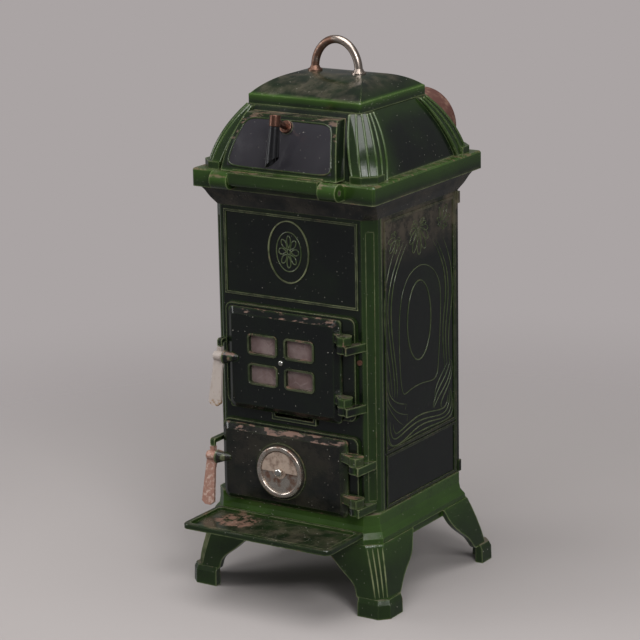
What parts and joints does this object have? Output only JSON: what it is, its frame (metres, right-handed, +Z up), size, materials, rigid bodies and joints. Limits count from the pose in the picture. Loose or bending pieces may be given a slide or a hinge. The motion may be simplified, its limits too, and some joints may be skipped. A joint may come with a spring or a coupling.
{
  "type": "room stove",
  "caption": "Tall rectangular cast-iron room stove on four splayed legs, with a domed hood, lift-off lid, rear flue, windowed fuel door, ash door and hearth tray.",
  "frame": {"origin": "on the floor, under the middle of the whole outline (between the hearth tray's front edge and the flue collar's end, and midway between the feet)", "axes": "+Z up, the doors face -Y, +X to the right seen from the front"},
  "size_m": [0.402, 0.575, 0.9515],
  "materials": {
    "enamel": "glossy vitreous enamel on cast iron",
    "bare_iron": "matt, sooty",
    "rusty_iron": "rusted",
    "bright_nickel": "worn nickel plating",
    "dark_steel": "dark, lightly rusted",
    "copper_metal": "worn copper plating",
    "white_enamel": "off-white enamel",
    "mica": "smoked mica",
    "firebrick": "matt fired clay",
    "galvanised_sheet": "dull sheet steel"
  },
  "bodies": {
    "stove": {"base_casting": "enamel", "hearth_tray": "enamel", "hearth_tray_screws": "dark_steel", "front_plate": "enamel", "side_plate_left": "enamel", "side_plate_right": "enamel", "back_plate": "enamel", "cornice": "enamel", "hood_front": "enamel", "hood_back": "enamel", "hood_left": "enamel", "hood_right": "enamel", "hood_corner_front_left": "enamel", "hood_corner_front_right": "enamel", "hood_corner_back_left": "enamel", "hood_corner_back_right": "enamel", "hood_screws": "dark_steel", "flue_sleeve": "enamel", "flue_collar": "rusty_iron", "flue_collar_screws": "dark_steel", "hood_door_hinge_pins": "dark_steel", "fire_door_hinge_pins": "dark_steel", "ash_door_hinge_pins": "dark_steel", "frame_screw": "dark_steel", "tie_rods": "dark_steel", "tie_rod_nuts": "dark_steel", "grate_plate": "bare_iron", "firebrick_left": "firebrick", "firebrick_right": "firebrick", "firebrick_back": "firebrick", "baffle_plate": "bare_iron"},
    "fire_door": {"fire_door": "enamel", "mica_sheet": "mica", "mica_retainer": "dark_steel", "mica_bolt": "bright_nickel", "mica_nut": "dark_steel", "fire_latch_pin": "dark_steel"},
    "fire_latch": {"fire_latch_lever": "white_enamel"},
    "ash_door": {"ash_door": "enamel", "regulator_ring": "bright_nickel", "regulator_bolt": "bright_nickel", "regulator_nut": "dark_steel", "ash_latch_pin": "dark_steel"},
    "air_flap": {"regulator_flap": "bright_nickel"},
    "ash_latch": {"ash_latch_lever": "copper_metal"},
    "hood_door": {"hood_door": "enamel"},
    "hood_latch": {"hood_latch_stem": "copper_metal", "hood_latch_tongue": "dark_steel", "hood_latch_nut": "dark_steel", "hood_latch_handle": "dark_steel"},
    "lid": {"lid": "enamel", "lid_rim": "enamel", "lid_handle": "bright_nickel", "lid_handle_nuts": "dark_steel"},
    "grate": {"grate": "bare_iron"},
    "ash_pan": {"ash_pan": "galvanised_sheet"}
  },
  "joints": [
    {"name": "fire_door_hinge", "type": "hinge", "parent": "stove", "child": "fire_door", "pos_m": [0.117, -0.1785, 0.42], "axis": [0, 0, 1], "range_deg": [0, 110]},
    {"name": "fire_latch_turn", "type": "hinge", "parent": "fire_door", "child": "fire_latch", "pos_m": [-0.132, -0.1825, 0.416], "axis": [-1, 0, 0], "range_deg": [0, 75]},
    {"name": "ash_door_hinge", "type": "hinge", "parent": "stove", "child": "ash_door", "pos_m": [0.137, -0.1785, 0.23], "axis": [0, 0, 1], "range_deg": [0, 110]},
    {"name": "ash_latch_turn", "type": "hinge", "parent": "ash_door", "child": "ash_latch", "pos_m": [-0.1525, -0.1825, 0.235], "axis": [-1, 0, 0], "range_deg": [0, 75]},
    {"name": "air_flap_turn", "type": "hinge", "parent": "ash_door", "child": "air_flap", "pos_m": [-0.015, -0.1805, 0.226], "axis": [0, -1, 0], "range_deg": [0, 180]},
    {"name": "hood_door_hinge", "type": "hinge", "parent": "stove", "child": "hood_door", "pos_m": [0, -0.1975, 0.728], "axis": [1, 0, 0], "range_deg": [0, 100]},
    {"name": "hood_latch_turn", "type": "hinge", "parent": "hood_door", "child": "hood_latch", "pos_m": [0.0005, -0.15881, 0.819], "axis": [0, -0.8988, 0.4384], "range_deg": [0, 90]},
    {"name": "lid_lift", "type": "slide", "parent": "stove", "child": "lid", "axis": [0, 0, 1], "range_m": [0, 0.06]},
    {"name": "grate_shake", "type": "slide", "parent": "stove", "child": "grate", "axis": [1, 0, 0], "range_m": [-0.008, 0.008]},
    {"name": "ash_pan_slide", "type": "slide", "parent": "stove", "child": "ash_pan", "axis": [0, -1, 0], "range_m": [0, 0.014]}
  ]
}
